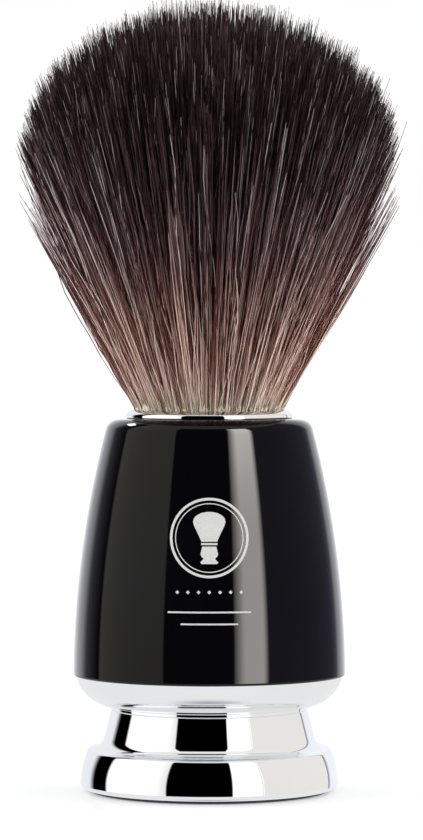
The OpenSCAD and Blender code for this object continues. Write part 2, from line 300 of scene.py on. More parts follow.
# ---------------------------------------------------------------- plated base
def foot_outline():
    """The foot: a rolled band, a ledge, a leaning cone and the neck, then its bored inside."""
    edge = 0.7            # curve at the bottom of the band
    band_curve = 11.5     # slight bulge of the band's side
    corner = 0.5          # curve at the top of the band
    ledge = 1.87          # hollow curve between the band and the cone
    tip = 0.25            # curve at the top of the cone
    tip_angle = 70
    band_top = foot_low + band_h
    wall_z = foot_low + edge
    wall_centre = foot_r - band_curve
    corner_z = band_top - corner
    corner_angle = math.degrees(math.asin((corner_z - wall_z) / (band_curve - corner)))
    corner_r = wall_centre + (band_curve - corner) * cos_deg(corner_angle)
    hollow_end_z = band_top + ledge * (1 - sin_deg(cone_lean))
    hollow_end_r = corner_r - ledge * cos_deg(cone_lean)
    tip_z = foot_top - neck_wall - tip * sin_deg(tip_angle)
    leave_z = tip_z + tip * sin_deg(cone_lean)
    leave_r = hollow_end_r - (leave_z - hollow_end_z) * tan_deg(cone_lean)
    tip_r = leave_r - tip * cos_deg(cone_lean)
    outside = (
        arc(foot_r - edge, wall_z, edge, -90, 0, 14)
        + arc(wall_centre, wall_z, band_curve, 1, corner_angle, 14)
        + arc(corner_r, corner_z, corner, corner_angle + 8, 90, 10)
        + arc(corner_r, band_top + ledge, ledge, -94, -180 + cone_lean, 20)
        + arc(tip_r, tip_z, tip, cone_lean, tip_angle, 8)
        + [(neck_r, foot_top)]
    )
    washer_top = top_of("flat_washer")
    recess_r = radius_of("flat_washer") + 0.3
    hollow_in = 9.5
    hollow_out = 14.8
    hollow_top = 4.6
    pad_seat_r = pad_r + 0.05
    inside = [
        (bolt_hole_r, foot_top),
        (bolt_hole_r, washer_top),
        (recess_r, washer_top),
        (recess_r, pad_top),
        (hollow_in, pad_top),
        (hollow_in, hollow_top),
        (hollow_out, hollow_top),
        (hollow_out, pad_top),
        (pad_seat_r, pad_top),
        (pad_seat_r, foot_low),
    ]
    return outside + inside


def dish_outline():
    """The bowl under the handle, with its recess, spigot and bolt hole."""
    centre_r = 13.15
    centre_z = shell_low + 1.3
    bowl = math.hypot(neck_r - centre_r, centre_z - foot_top)
    start = -math.degrees(math.acos((neck_r - centre_r) / bowl))
    end = -math.degrees(math.asin((centre_z - shell_low) / bowl))
    spigot_r = 9.0
    spigot_top = top_of("base_dish")
    recess_in = 10.2
    recess_out = 15.4
    recess_low = shell_low - 1.8
    inside = [
        (recess_out, shell_low),
        (recess_out, recess_low),
        (recess_in, recess_low),
        (recess_in, shell_low),
        (spigot_r, shell_low),
        (spigot_r, spigot_top),
        (bolt_hole_r, spigot_top),
        (bolt_hole_r, foot_top),
    ]
    return arc(centre_r, centre_z, bowl, start, end, 40) + inside


def pad_outline():
    """A flat disc with a curved lower edge."""
    edge = 0.25
    return [(0, 0)] + arc(pad_r - edge, edge, edge, -90, 0, 6) + [(pad_r, pad_top), (0, pad_top)]


foot = lathe("foot_casting", foot_outline(), chrome)
stands_for(foot, "base_foot", "handle")
dish = lathe("dish_casting", dish_outline(), chrome)
stands_for(dish, "base_dish", "handle")
# The dark pad's edge under the foot is partly painted shadow
pad = lathe("pad_disc_and_shadow_line", pad_outline(), pad_rubber_and_shadow)
stands_for(pad, "foot_pad", "handle")


# ---------------------------------------------------------------- resin handle
BELLY_CURVE = 141.5
BELLY_Z = shell_low - 1.5
BELLY_CENTRE = shell_r - math.sqrt(BELLY_CURVE**2 - (shell_low - BELLY_Z) ** 2)


def shell_radius(z):
    """Outer radius of the handle at height z, below its shoulder."""
    return BELLY_CENTRE + math.sqrt(BELLY_CURVE**2 - (z - BELLY_Z) ** 2)


def shell_outline():
    """Outside curve and shoulder, then the stepped bore from the top down."""
    edge = 0.35
    shoulder = 2.0
    chamfer = 0.15
    low_angle = math.degrees(math.asin((shell_low + edge - BELLY_Z) / BELLY_CURVE))
    low_r = BELLY_CENTRE + BELLY_CURVE * cos_deg(low_angle)
    shoulder_z = shell_top - shoulder
    shoulder_angle = math.degrees(math.asin((shoulder_z - BELLY_Z) / (BELLY_CURVE - shoulder)))
    shoulder_r = BELLY_CENTRE + (BELLY_CURVE - shoulder) * cos_deg(shoulder_angle)
    bore_r = radius_of("knot_cup") + 0.2
    groove_low = bottom_of("collar_oring") - 0.1
    groove_top = top_of("collar_oring") + 0.1
    groove_r = radius_of("collar_oring") + 0.08
    flange_r = radius_of("socket_insert") + 0.1
    flange_top = top_of("socket_insert") + 0.2
    flange_seat = top_of("socket_insert") - 2
    insert_low = bottom_of("socket_insert")
    insert_bore_r = 7.1
    outside = (
        arc(low_r - edge, shell_low + edge, edge, -90, -6, 8)
        + arc(BELLY_CENTRE, BELLY_Z, BELLY_CURVE, low_angle, shoulder_angle, 48)
        + arc(shoulder_r, shoulder_z, shoulder, shoulder_angle + 4, 90, 24)
    )
    bore = [
        (bore_r + chamfer, shell_top),
        (bore_r, shell_top - chamfer),
        (bore_r, groove_top),
        (groove_r, groove_top),
        (groove_r, groove_low),
        (bore_r, groove_low),
        (bore_r, flange_top),
        (flange_r, flange_top),
        (flange_r, flange_seat),
        (insert_bore_r, flange_seat),
        (insert_bore_r, insert_low),
        (flange_r, insert_low),
        (flange_r, shell_low),
    ]
    return outside + bore


handle = lathe("handle_resin", shell_outline(), resin)
stands_for(handle, "handle_shell", "handle")


# ---------------------------------------------------------------- collar ring
def collar_outline():
    """A low domed ring with a small rolled lower edge, over the skirt that seals in the handle."""
    outer_r = radius_of("collar_ring")
    skirt_low = bottom_of("collar_ring")
    skirt_r = 10.95
    bore_r = 10.5
    roll = 0.15           # curve at the lower edge
    side = 0.5            # curve of the outer side, up to side_end degrees
    side_end = 45
    crown = 1.9           # flatter curve over the top, up to crown_end degrees
    crown_end = 76
    side_z = mouth_z - side * sin_deg(side_end) - crown * (sin_deg(crown_end) - sin_deg(side_end))
    crown_r = outer_r - side + (side - crown) * cos_deg(side_end)
    crown_z = side_z + (side - crown) * sin_deg(side_end)
    return (
        [(bore_r, skirt_low), (skirt_r, skirt_low), (skirt_r, shell_top)]
        + arc(outer_r - roll, shell_top + roll, roll, -90, 0, 6)
        + arc(outer_r - side, side_z, side, 0, side_end, 10)
        + arc(crown_r, crown_z, crown, side_end + 3, crown_end, 12)
        + [(bore_r + 0.05, mouth_z - 0.02), (bore_r, mouth_z - 0.1)]
    )


collar = lathe("collar_plated", collar_outline(), chrome)
stands_for(collar, "collar_ring", "head")


# ---------------------------------------------------------------- inner parts keep their CAD shape
def dress(material, *nodes):
    """Gives CAD nodes a procedural material."""
    for node in nodes:
        for material_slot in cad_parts[node].material_slots:
            material_slot.material = material


zinc_plate = grained(
    "zinc_plated_steel",
    light=(0.6, 0.61, 0.63),
    dark=(0.42, 0.43, 0.46),
    metallic=1,
    rough=(0.25, 0.45),
    scale=2600,
    relief=0.01,
)
spring_steel = grained(
    "spring_steel_dark",
    light=(0.3, 0.31, 0.33),
    dark=(0.16, 0.165, 0.18),
    metallic=1,
    rough=(0.3, 0.5),
    scale=2200,
    relief=0.01,
)
brass = grained(
    "turned_brass",
    light=(0.82, 0.6, 0.26),
    dark=(0.6, 0.4, 0.15),
    metallic=1,
    rough=(0.18, 0.35),
    scale=1500,
    relief=0.01,
    stretch=(0.1, 0.1, 3),
)
seal_rubber = grained(
    "seal_rubber_black",
    light=(0.03, 0.03, 0.03),
    dark=(0.012, 0.012, 0.012),
    metallic=0,
    rough=(0.5, 0.7),
    scale=3000,
    relief=0.01,
)
cup_plastic = grained(
    "cup_moulded",
    light=(0.07, 0.07, 0.075),
    dark=(0.04, 0.04, 0.045),
    metallic=0,
    rough=(0.35, 0.5),
    scale=4000,
    relief=0.01,
)
potting_resin = grained(
    "potting_amber",
    light=(0.62, 0.48, 0.26),
    dark=(0.42, 0.3, 0.14),
    metallic=0,
    rough=(0.1, 0.25),
    scale=500,
    relief=0.02,
)
waxed_cord = grained(
    "waxed_cord",
    light=(0.78, 0.71, 0.58),
    dark=(0.5, 0.44, 0.33),
    metallic=0,
    rough=(0.6, 0.8),
    scale=9000,
    relief=0.03,
    stretch=(1, 1, 4),
)
dress(zinc_plate, "tie_bolt", "flat_washer", "head_stud")
dress(spring_steel, "spring_washer")
dress(brass, "socket_insert")
dress(seal_rubber, "collar_oring")
dress(cup_plastic, "knot_cup")
dress(potting_resin, "resin_plug")
dress(waxed_cord, "bundle_binding")


# ---------------------------------------------------------------- printed emblem
INK_PROUD = 0.03
INK_DEPTH = 0.02
EMBLEM_Z = 36.2
RINGS_OF_INK = (("emblem_ring", 5.05, 0.35), ("emblem_ring_inner", 4.55, 0.12))
COLLAR_HALF_W = 1.1
COLLAR_LOW = -0.95
COLLAR_TOP = -0.68
DOT_R = 0.26
DOT_GAP = 1.45
DOT_Z = 28.9
DOTS_EACH_SIDE = 3
RULES = ((5.7, 26.2), (3.9, 24.6))
RULE_HALF_H = 0.11
# Half outlines of the little brush in the ring, as (half width, height above the ring's centre)
FAN_SHAPE = (
    (1.05, -0.5), (1.5, 0.5), (2.0, 1.5), (2.2, 2.1), (2.1, 2.6), (1.75, 3.0), (1.1, 3.35), (0.3, 3.5),
)
GRIP_SHAPE = ((1.0, -3.5), (1.25, -3.3), (0.75, -2.8), (1.05, -2.5), (1.2, -2.2), (0.95, -1.15))

ink = grained(
    "printed_ink",
    light=(0.56, 0.56, 0.55),
    dark=(0.46, 0.46, 0.45),
    metallic=0,
    rough=(0.4, 0.55),
    scale=5000,
    relief=0.004,
)


def ink_patch(name, left, right, rows, columns):
    """A thin solid of ink on the handle's front, between two curves of (sideways, height) points."""
    along = np.linspace(0, 1, rows)
    across = np.linspace(0, 1, columns)[None, :, None]
    a = np.array([left(t) for t in along])[:, None, :]
    b = np.array([right(t) for t in along])[:, None, :]
    flat = a + (b - a) * across
    vertices = []
    for offset in (INK_PROUD, -INK_DEPTH):
        for sideways, z in flat.reshape(-1, 2):
            r = shell_radius(z)
            angle = sideways / r
            out = (r + offset) * MM
            vertices.append((out * math.sin(angle), -out * math.cos(angle), z * MM))
    back = rows * columns
    faces = []
    for i in range(rows - 1):
        for j in range(columns - 1):
            k = i * columns + j
            faces.append((k, k + 1, k + columns + 1, k + columns))
            faces.append((back + k, back + k + columns, back + k + columns + 1, back + k + 1))
    rim = list(range(columns))
    rim += [i * columns + columns - 1 for i in range(1, rows)]
    rim += [(rows - 1) * columns + j for j in range(columns - 2, -1, -1)]
    rim += [i * columns for i in range(rows - 2, 0, -1)]
    for k, following in zip(rim, rim[1:] + rim[:1]):
        faces.append((k, back + k, back + following, following))
    mesh = bpy.data.meshes.new(name)
    mesh.from_pydata(vertices, [], faces)
    face_outwards(mesh)
    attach(new_object(name, mesh, ink), "handle")


def level_curve(points):
    """A curve through (sideways, height) points, as a function of 0 to 1."""
    table = np.array(points, float)
    places = np.linspace(0, 1, len(table))
    return lambda t: (np.interp(t, places, table[:, 0]), np.interp(t, places, table[:, 1]))


def circle(radius):
    """A circle round the emblem's centre, as a function of 0 to 1."""
    turn = 2 * math.pi
    return lambda t: (radius * math.sin(turn * t), EMBLEM_Z + radius * math.cos(turn * t))


def mirrored(shape):
    """Left and right curves of a half outline that stands on the emblem's centre."""
    left = [(-w, EMBLEM_Z + z) for w, z in shape]
    right = [(w, EMBLEM_Z + z) for w, z in shape]
    return level_curve(left), level_curve(right)


for name, radius, line_w in RINGS_OF_INK:
    ink_patch(name, circle(radius), circle(radius + line_w), 73, 3)
ink_patch("emblem_fan", *mirrored(FAN_SHAPE), 22, 8)
ink_patch("emblem_collar", *mirrored(((COLLAR_HALF_W, COLLAR_LOW), (COLLAR_HALF_W, COLLAR_TOP))), 3, 5)
ink_patch("emblem_grip", *mirrored(GRIP_SHAPE), 18, 6)
for n in range(-DOTS_EACH_SIDE, DOTS_EACH_SIDE + 1):
    x = n * DOT_GAP
    low = level_curve([(x - DOT_R, DOT_Z), (x, DOT_Z - DOT_R), (x + DOT_R, DOT_Z)])
    top = level_curve([(x - DOT_R, DOT_Z), (x, DOT_Z + DOT_R), (x + DOT_R, DOT_Z)])
    ink_patch(f"emblem_dot_{n + DOTS_EACH_SIDE + 1}", low, top, 7, 4)
for k, (half_w, z) in enumerate(RULES):
    low = level_curve([(-half_w, z - RULE_HALF_H), (half_w, z - RULE_HALF_H)])
    top = level_curve([(-half_w, z + RULE_HALF_H), (half_w, z + RULE_HALF_H)])
    ink_patch(f"emblem_rule_{k + 1}", low, top, 25, 2)


# ---------------------------------------------------------------- fibres
SEED = 41
BATCHES = 5
SIDES = 3               # sides of a fibre's tube
RINGS = 10              # points along a fibre
FIBRES = 15600
STRAYS = 300
LOCKS = 12
LOCK_SIZE = 11          # fibres in a lock
FRINGE = 800
WIDTHS = (0.055, 0.085)
# Glints are the palest, thinnest fibres, and their colour also paints the shine along glossy fibres: a
# painted highlight
GLINT_WIDTH = 0.72      # width of a glint, as a share of other fibres' width
GLINTS = 0.05           # share of fibres that are glints: the palest ones
GLINT_SHADE = 0.95      # glints have shades above this, and other fibres up to PLAIN_SHADE
PLAIN_SHADE = 0.93
UV_LAYER = "OFBake"     # colours are looked up along this map: fibre shade across, height upwards

# How far tips wander from a straight fan, in radians, and the share of fibres that do
WANDERS = (0.012, 0.035, 0.07)
WANDER_SHARES = (0.72, 0.2, 0.08)
# How far fibres wave, in millimetres, and the share of fibres that do
WAVES = (0.13, 0.4)
WAVE_SHARES = (0.88, 0.12)
LEAST_WAVE = 0.03
MOST_WAVE = 0.5
SLOW_WAVE = 1.6         # size of a fibre's slow wave, as a share of its quick one
SLOW_TURNS = (0.5, 1.1)
QUICK_TURNS = (1.2, 3.2)
FREE_FROM = 3.5         # the wave grows over the first 1/FREE_FROM of a fibre
# A fan is narrower than straight lines from the cup, and its outermost fibres bend in most
DRAWN_IN = 0.925
OUTER_DRAWN_IN = 0.03
# Locks of fibres share part of their shade: strongly at the root and weakly at the tip
SECTORS = 26            # locks to a radian round the axis
ROWS = 1.5              # locks to a millimetre outwards
ROOT_SHARED = 1.2
TIP_SHARED = 0.4
TIP_FROM = 2.5          # shades reach their tip value 1/TIP_FROM of the way up
# Fibres end in tufts, a little below the dome; these are shares of a fibre's reach
TUFT_CELLS = 75         # fibres share a tuft where their directions agree to one part in this many
TUFT_UNEVEN = 0.009
TIP_SHARE = 0.997
TIP_UNEVEN = 0.02
# Some of the outer fibres are shorter
OUTER_LEAN = math.radians(23)
SHORTER = 0.4
SHORTER_BY = 0.13

dome_h = 21.4
fan_z = brush_top - dome_h
root_z = mouth_z - 1.6
root_r = 9.6
apex_z = root_z - root_r / tan_deg(27.8)
dome_lean = math.radians(27.3)
widest_lean = math.radians(28.2)
lock_lean = math.radians(28.4)
fringe_r = 10.25


def dome_reach(lean):
    """Distance from the apex to the dome along a line that leans this far, in radians."""
    lean = np.minimum(lean, dome_lean)
    rise = fan_z - apex_z
    s, c = np.sin(lean), np.cos(lean)
    a = s**2 / bloom_r**2 + c**2 / dome_h**2
    b = rise * c / dome_h**2
    return (b + np.sqrt(np.maximum(b**2 - a * (rise**2 / dome_h**2 - 1), 0))) / a


def towards(lean, angle):
    """Unit vectors that lean from the axis towards an angle round it."""
    return np.stack([np.sin(lean) * np.cos(angle), np.sin(lean) * np.sin(angle), np.cos(lean)], 1)


def grow(rng, start, lean, angle, share, wave, period):
    """Centrelines from start to the dome: RINGS points each, bent by a slow and a quick wave."""
    count = len(start)
    apex = np.array([0, 0, apex_z])
    tip = apex + (dome_reach(lean) * share)[:, None] * towards(lean, angle)
    t = np.linspace(0, 1, RINGS)
    line = start[:, None, :] + (tip - start)[:, None, :] * t[None, :, None]
    for size, turns in ((wave * SLOW_WAVE, rng.uniform(*SLOW_TURNS, count)), (wave, period)):
        side = rng.uniform(0, 2 * math.pi, count)
        phase = rng.uniform(0, 2 * math.pi, count)
        swing = np.sin(2 * math.pi * t[None, :] * turns[:, None] + phase[:, None])
        swing -= np.sin(phase)[:, None]
        swing *= (size[:, None] * np.minimum(1, FREE_FROM * t)[None, :])
        line[:, :, 0] += swing * np.cos(side)[:, None]
        line[:, :, 1] += swing * np.sin(side)[:, None]
    return line


def on_mouth(r, angle):
    """Points at the fibres' root height, at a radius and an angle."""
    return np.stack([r * np.cos(angle), r * np.sin(angle), np.full(len(r), root_z)], 1)


def root_points(rng, count, inner=0.0):
    """Places in the cup's mouth, evenly spread, and the lean and angle of a straight fan there."""
    r = root_r * np.sqrt(rng.uniform(inner**2, 1, count))
    angle = rng.uniform(0, 2 * math.pi, count)
    return on_mouth(r, angle), np.arctan2(r, root_z - apex_z), angle


def shared_draw(rng, size, first, second):
    """A normal draw for each fibre, which fibres share where both whole numbers are equal."""
    _, member = np.unique(first * 1000 + second, return_inverse=True)
    return rng.normal(0, size, member.max() + 1)[member]


def body_fibres(rng):
    """The main mass: a fan whose outermost fibres bend in a little, with tufted, uneven tips."""
    start, lean, angle = root_points(rng, FIBRES)
    lean = lean * (DRAWN_IN - OUTER_DRAWN_IN * (lean / widest_lean) ** 2)
    wander = rng.choice(WANDERS, FIBRES, p=WANDER_SHARES)
    across = rng.normal(0, wander)
    lean = np.abs(lean + rng.normal(0, wander))
    lean = np.where(lean > widest_lean, 2 * widest_lean - lean, lean)
    least_sin = 0.08
    angle = angle + across / np.maximum(np.sin(lean), least_sin)
    cell = np.floor(towards(lean, angle)[:, :2] * TUFT_CELLS).astype(int)
    tuft = shared_draw(rng, TUFT_UNEVEN, cell[:, 0], cell[:, 1])
    share = TIP_SHARE + tuft - np.abs(rng.normal(0, TIP_UNEVEN, FIBRES))
    outer = (lean > OUTER_LEAN) & (rng.uniform(0, 1, FIBRES) < SHORTER)
    share -= np.where(outer, rng.uniform(0, SHORTER_BY, FIBRES), 0)
    wave = np.abs(rng.normal(0, rng.choice(WAVES, FIBRES, p=WAVE_SHARES)))
    wave = np.minimum(LEAST_WAVE + wave, MOST_WAVE)
    return grow(rng, start, lean, angle, share, wave, rng.uniform(*QUICK_TURNS, FIBRES))


def stray_fibres(rng):
    """Single fibres that stand a little outside the fan."""
    start, lean, angle = root_points(rng, STRAYS, 0.86)
    lean = lean + np.abs(rng.normal(0, 0.02, STRAYS))
    share = rng.uniform(0.72, 1.0, STRAYS)
    wave = rng.uniform(0.05, 0.4, STRAYS)
    return grow(rng, start, lean, angle, share, wave, rng.uniform(1, 2.5, STRAYS))


def outer_locks(rng):
    """Thin locks of fibres that lie together on the outside of the fan."""
    count = LOCKS * LOCK_SIZE
    lock = np.repeat(np.arange(LOCKS), LOCK_SIZE)
    heading = (lock + 0.5) * 2 * math.pi / LOCKS + rng.uniform(-0.2, 0.2, LOCKS)[lock]
    r = root_r * rng.uniform(0.95, 0.995, count)
    start = on_mouth(r, heading + rng.normal(0, 0.03, count))
    lean = lock_lean + rng.uniform(0, 0.02, LOCKS)[lock] + rng.normal(0, 0.005, count)
    share = rng.uniform(0.8, 0.99, count)
    heading = heading + rng.normal(0, 0.025, count)
    return grow(rng, start, lean, heading, share, np.full(count, 0.06), np.full(count, 1.0))


def fringe_fibres(rng):
    """Short pale fibres that lie over the collar's inner edge; they paint the bright glare where the
    fibres leave the cup.
    """
    angle = rng.uniform(0, 2 * math.pi, FRINGE)
    low_r = fringe_r + rng.uniform(-0.2, 0.1, FRINGE)
    top_r = low_r + rng.uniform(0.0, 0.32, FRINGE)
    rise = rng.uniform(0.35, 1.3, FRINGE)
    twist = rng.normal(0, 0.02, FRINGE)
    t = np.linspace(0, 1, RINGS)[None, :]
    r = low_r[:, None] + (top_r - low_r)[:, None] * t
    turn = angle[:, None] + twist[:, None] * t
    z = mouth_z - 0.3 + rise[:, None] * t
    return np.stack([r * np.cos(turn), r * np.sin(turn), z], 2)


def ranked(values):
    """Each value's place in order, from 0 for the lowest to PLAIN_SHADE for the highest."""
    return PLAIN_SHADE * np.argsort(np.argsort(values)) / (len(values) - 1)


def fibre_shades(rng, line):
    """Shades from 0, dark, to 1, pale, along each fibre: part its own, part shared by its lock."""
    x, y = line[:, 0, 0], line[:, 0, 1]
    sector = np.floor(np.arctan2(y, x) * SECTORS).astype(int)
    row = np.floor(np.hypot(x, y) * ROWS).astype(int)
    shared = shared_draw(rng, 1, sector, row)
    own = rng.normal(0, 1, len(line))
    low = ranked(ROOT_SHARED * shared + own)
    high = ranked(TIP_SHARED * shared + own)
    glints = rng.uniform(0, 1, len(line)) < GLINTS
    high[glints] = rng.uniform(GLINT_SHADE, 1, glints.sum())
    # The fringe fibres are always pale: a painted highlight at the roots
    low[-FRINGE:] = rng.uniform(0.75, 1, FRINGE)
    high[-FRINGE:] = low[-FRINGE:]
    t = np.minimum(1, TIP_FROM * np.linspace(0, 1, RINGS))
    return low[:, None] * (1 - t) + high[:, None] * t


def fibre_mesh(name, line, shade, thickness, roll, material):
    """Closed, tapering three-sided tubes along the centrelines, as one mesh."""
    count = len(line)
    taper = np.interp(np.linspace(0, 1, RINGS), [0, 0.8, 0.93, 1], [1, 0.95, 0.8, 0.4])
    radius = thickness[:, None] * taper[None, :]
    along = np.gradient(line, axis=1)
    along /= np.linalg.norm(along, axis=2, keepdims=True)
    side_a = np.cross(along, np.array([0.31, 0.95, 0.05]))
    side_a /= np.linalg.norm(side_a, axis=2, keepdims=True)
    side_b = np.cross(along, side_a)
    turn = roll[:, None] + np.arange(SIDES) * 2 * math.pi / SIDES
    ring = (
        side_a[:, :, None, :] * np.cos(turn)[:, None, :, None]
        + side_b[:, :, None, :] * np.sin(turn)[:, None, :, None]
    )
    points = (line[:, :, None, :] + ring * radius[:, :, None, None]).reshape(-1, 3) * MM
    # Quads up the sides of one fibre, then its two end caps, repeated for every fibre
    i, j = np.meshgrid(np.arange(RINGS - 1), np.arange(SIDES), indexing="ij")
    low, beside = i * SIDES + j, i * SIDES + (j + 1) % SIDES
    quads = np.stack([low, beside, beside + SIDES, low + SIDES], -1).reshape(-1, 4)
    caps = np.array([[2, 1, 0], [0, 1, 2]])
    caps[1] += (RINGS - 1) * SIDES
    one = np.concatenate([quads.ravel(), caps.ravel()])
    loops = (one[None, :] + np.arange(count)[:, None] * RINGS * SIDES).ravel()
    sizes = np.tile([4] * len(quads) + [3] * len(caps), count)
    starts = np.concatenate([[0], np.cumsum(sizes)[:-1]])
    mesh = bpy.data.meshes.new(name)
    mesh.vertices.add(len(points))
    mesh.vertices.foreach_set("co", points.ravel())
    mesh.loops.add(len(loops))
    mesh.loops.foreach_set("vertex_index", loops.astype(np.int32))
    mesh.polygons.add(len(sizes))
    mesh.polygons.foreach_set("loop_start", starts.astype(np.int32))
    mesh.update(calc_edges=True)
    mesh.polygons.foreach_set("use_smooth", np.ones(len(sizes), bool))
    # The sides of a tube sit a little apart on the map, so that its faces have some area there
    height = np.repeat((line[:, :, 2] - root_z) / (brush_top - root_z), SIDES)
    across = np.repeat(shade, SIDES) + np.tile(np.arange(SIDES) * 0.001, count * RINGS)
    place = np.clip(np.stack([across, height], 1), 0.002, 0.998)
    layer = mesh.uv_layers.new(name=UV_LAYER)
    layer.data.foreach_set("uv", place[loops].ravel())
    return new_object(name, mesh, material)


# Colours up a fibre, as (share of height, sRGB colour): the first row is the darkest fibres, the last the
# glints, whose colour is partly a painted highlight. A dyed fibre is pale near the cup, then brown, and
# near black towards its tip. The cream at the lowest stop, just above the collar, is painted highlight:
# the glare where the fibres leave the cup
FIBRE_COLOURS = (
    # The darkest row turns dark close above the cup: as well as dark fibres, it paints the shade in the
    # gaps between the fibres there
    (0.0, ((0.02, (0.5, 0.4, 0.3)), (0.05, (0.2, 0.1, 0.06)), (0.09, (0.11, 0.03, 0.02)),
           (0.3, (0.1, 0.02, 0.02)), (0.6, (0.03, 0.01, 0.01)))),
    (0.4, ((0.02, (0.78, 0.71, 0.61)), (0.05, (0.73, 0.6, 0.52)), (0.09, (0.58, 0.4, 0.37)),
           (0.17, (0.43, 0.25, 0.22)), (0.27, (0.29, 0.15, 0.15)), (0.4, (0.17, 0.1, 0.11)),
           (0.6, (0.09, 0.05, 0.05)))),
    (0.8, ((0.02, (0.94, 0.89, 0.82)), (0.09, (0.93, 0.8, 0.75)), (0.17, (0.87, 0.73, 0.67)),
           (0.27, (0.66, 0.53, 0.49)), (0.37, (0.45, 0.35, 0.35)), (0.5, (0.3, 0.23, 0.23)),
           (0.7, (0.16, 0.12, 0.12)))),
    (PLAIN_SHADE, ((0.02, (0.97, 0.93, 0.86)), (0.17, (0.96, 0.87, 0.82)), (0.27, (0.82, 0.74, 0.7)),
                   (0.37, (0.66, 0.57, 0.56)), (0.5, (0.49, 0.43, 0.42)), (0.75, (0.27, 0.22, 0.22)))),
    (1.0, ((0.02, (0.97, 0.93, 0.86)), (0.17, (0.98, 0.92, 0.87)), (0.3, (0.89, 0.83, 0.8)),
           (0.6, (0.82, 0.78, 0.77)), (1.0, (0.4, 0.36, 0.35)))),
)
# Light passes through the pale part of a fibre, and hardly through its dyed tip
CLEAR_BELOW = 0.42
DYED_ABOVE = 0.72
CLEAR_SCATTER = 0.65
DYED_SCATTER = 0.1


def from_srgb(colour):
    """The linear colour for an sRGB colour."""
    return tuple(v / 12.92 if v <= 0.04045 else ((v + 0.055) / 1.055) ** 2.4 for v in colour)


def fibre_material():
    """Pale at the root and near black at the tip, with dark and pale fibres side by side."""
    material, tree, shader = node_material("synthetic_fibre")
    place = add(tree, "ShaderNodeUVMap", uv_map=UV_LAYER)
    split = tree.nodes.new("ShaderNodeSeparateXYZ")
    tree.links.new(place.outputs["UV"], split.inputs["Vector"])
    shade, height = split.outputs["X"], split.outputs["Y"]
    layers = [
        (shade_at, ramp(tree, height, [(at, from_srgb(tint)) for at, tint in stops]))
        for shade_at, stops in FIBRE_COLOURS
    ]
    previous, colour = layers[0]
    for shade_at, layer in layers[1:]:
        colour = mix_colours(tree, spread(tree, shade, 0, 1, previous, shade_at), colour, layer)
        previous = shade_at
    tree.links.new(colour, shader.inputs["Base Color"])
    shader.inputs["Roughness"].default_value = 0.45
    shader.inputs["Specular IOR Level"].default_value = 0.05
    scatter = spread(tree, height, CLEAR_SCATTER, DYED_SCATTER, CLEAR_BELOW, DYED_ABOVE)
    tree.links.new(scatter, shader.inputs["Subsurface Weight"])
    shader.inputs["Subsurface Radius"].default_value = (1, 0.82, 0.79)
    shader.inputs["Subsurface Scale"].default_value = 0.18 * MM
    return material


rng = np.random.default_rng(SEED)
fibre_look = fibre_material()
groups = [body_fibres(rng), stray_fibres(rng), outer_locks(rng), fringe_fibres(rng)]
lines = np.concatenate(groups)
shades = fibre_shades(rng, lines)
widths = rng.uniform(*WIDTHS, len(lines))
widths[shades[:, -1] > GLINT_SHADE] *= GLINT_WIDTH
rolls = rng.uniform(0, 2 * math.pi, len(lines))
for k in range(BATCHES):
    pick = slice(k * len(lines) // BATCHES, (k + 1) * len(lines) // BATCHES)
    fibres = fibre_mesh(
        f"fibres_{k + 1}", lines[pick], shades[pick], widths[pick], rolls[pick], fibre_look
    )
    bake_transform(fibres)
    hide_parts("bristle_root", "bristle_tips")


# ---------------------------------------------------------------- studio light
# Panels round the object, seen only in reflections. Azimuth is 0 towards the camera and grows to the
# right. Each is (left, right), (foot, top), (softness of left and right side) and colour; in degrees.
PANELS = (
    ((-190, -128), (-10, 60), (2, 2), (0.9, 0.92, 0.96)),
    ((-131, -105), (-10, 52), (12, 4), (0, 0, 0)),
    ((-105, -39), (-10, 48), (4, 2), (0.7, 0.68, 0.63)),
    ((-39, 21), (-10, 47), (2, 1), (0, 0, 0)),
    ((21, 54), (-10, 45), (2, 3), (1.3, 1.3, 1.3)),
    ((49, 138), (-10, 50), (4, 8), (0.23, 0.22, 0.32)),
    ((138, 190), (-10, 60), (8, 2), (0.94, 0.96, 1)),
)
PANEL_FOOT_SOFT = 2
PANEL_TOP_SOFT = 4
# What reflections see elsewhere, from straight below upwards; each change is (elevation, softness)
UNDERNEATH = (0.34, 0.38, 0.42)
GROUND = (0.88, 0.885, 0.895)
SKY = (0.94, 0.93, 0.91)
GROUND_FROM = (-78, 20)
SKY_FROM = (-10, 3)
# Soft light is strongest from the sides and from behind, which rims the fibres
SOFT_LIGHT = 0.9
SOFT_FROM_BEHIND = 0.7
SOFT_FROM_SIDES = 4.2


def maths(tree, operation, a, b=None):
    """One maths node; a and b are numbers or sockets."""
    node = add(tree, "ShaderNodeMath", operation=operation)
    feed(tree, node.inputs[0], a)
    if b is not None:
        feed(tree, node.inputs[1], b)
    return node.outputs["Value"]


def step(tree, value, edge, width):
    """0 below edge and 1 above it, with a soft change this wide."""
    low, high = edge - width / 2, edge + width / 2
    node = add(tree, "ShaderNodeMapRange", interpolation_type="SMOOTHSTEP", from_min=low, from_max=high)
    tree.links.new(value, node.inputs["Value"])
    return node.outputs["Result"]


def panel_mask(tree, azimuth, elevation, sides, heights, softness):
    """1 on a panel and 0 off it."""
    edges = (
        (azimuth, sides[0], softness[0], True),
        (elevation, heights[0], PANEL_FOOT_SOFT, True),
        (azimuth, sides[1], softness[1], False),
        (elevation, heights[1], PANEL_TOP_SOFT, False),
    )
    mask = 1.0
    for value, edge, width, starts in edges:
        inside = step(tree, value, edge, width)
        if not starts:
            inside = maths(tree, "SUBTRACT", 1, inside)
        mask = maths(tree, "MULTIPLY", mask, inside)
    return mask


